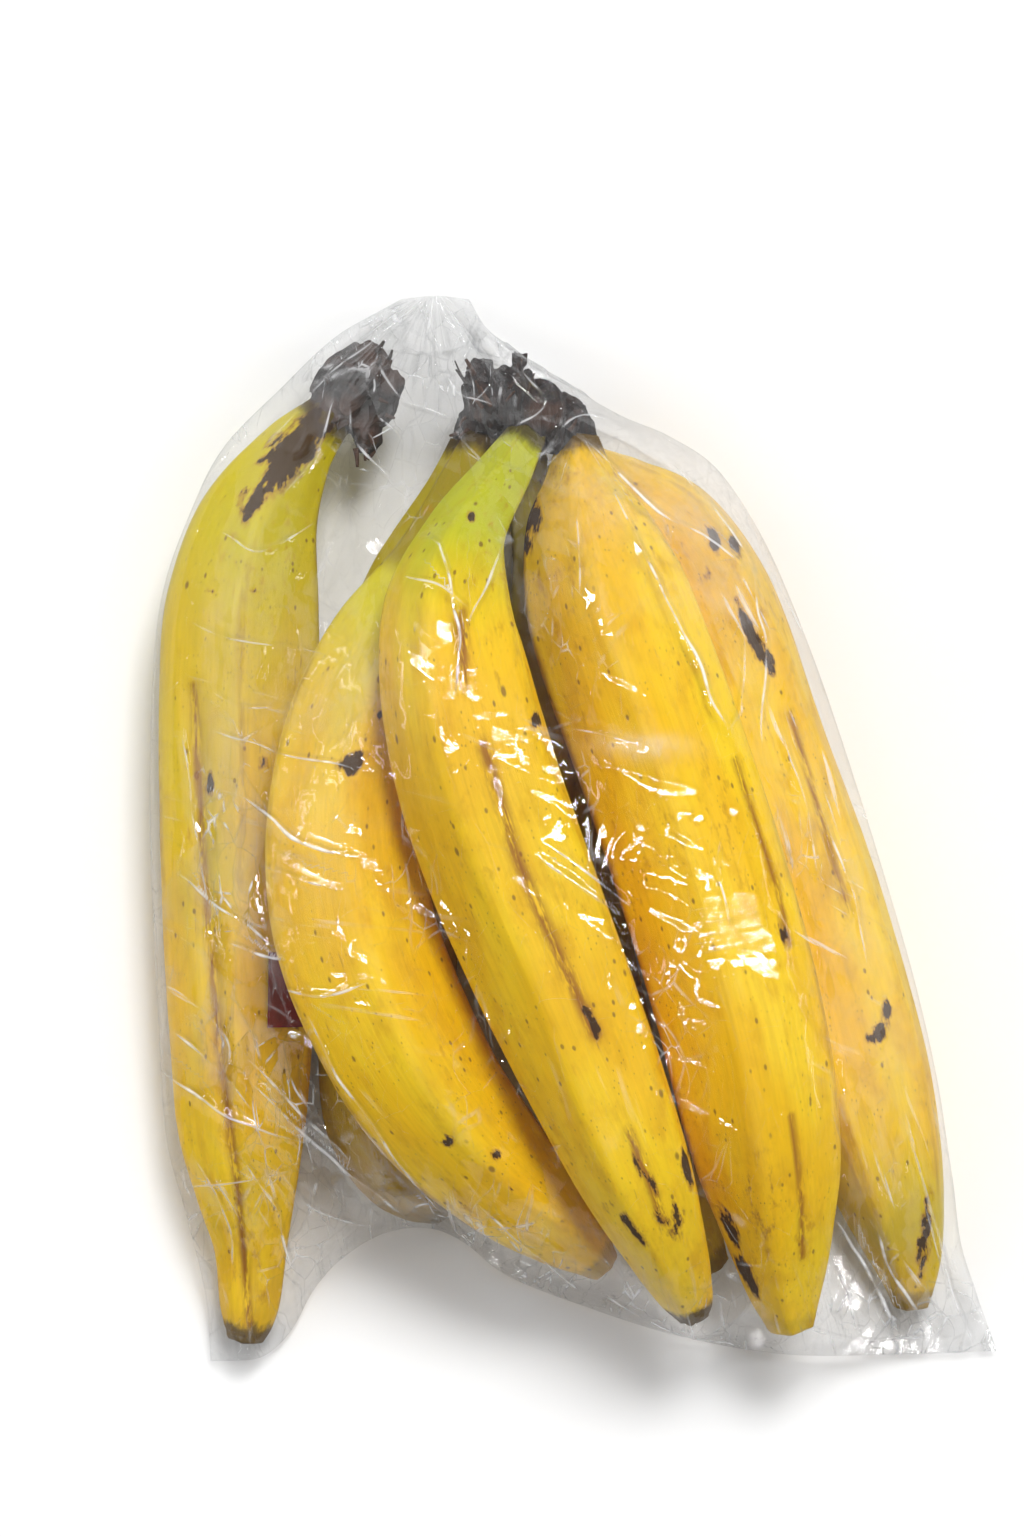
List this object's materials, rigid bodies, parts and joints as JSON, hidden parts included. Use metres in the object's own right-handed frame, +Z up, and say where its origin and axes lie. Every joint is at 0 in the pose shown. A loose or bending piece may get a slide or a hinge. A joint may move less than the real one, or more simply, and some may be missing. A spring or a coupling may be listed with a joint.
{
  "type": "bunch of plantains",
  "caption": "Bunch of ripe yellow plantains on dark crowns, lying flat inside a clear plastic film bag.",
  "frame": {"origin": "on the floor under the middle of the bag's bounding box", "axes": "+Z up, +Y from the plantains' tips towards their crowns, +X to the right as seen from above"},
  "size_m": [0.2502, 0.3154, 0.11],
  "materials": {
    "ripe_peel": "waxy ripe peel, yellow with brown flecks and greener at the neck",
    "olive_peel": "waxy peel, brownish olive yellow",
    "dry_crown": "dry dark brown fibrous crown",
    "sticker": "plain dark red sticker",
    "clear_film": "clear glossy crinkled plastic film"
  },
  "bodies": {
    "root": {"plantain_far_left": "ripe_peel", "plantain_far_right": "ripe_peel", "plantain_top_left": "ripe_peel", "plantain_top_centre": "ripe_peel", "plantain_top_right": "ripe_peel", "plantain_under_left": "olive_peel", "plantain_under_centre": "olive_peel", "crown_centre": "dry_crown", "crown_left": "dry_crown", "fruit_sticker": "sticker", "clear_bag": "clear_film"}
  },
  "joints": []
}
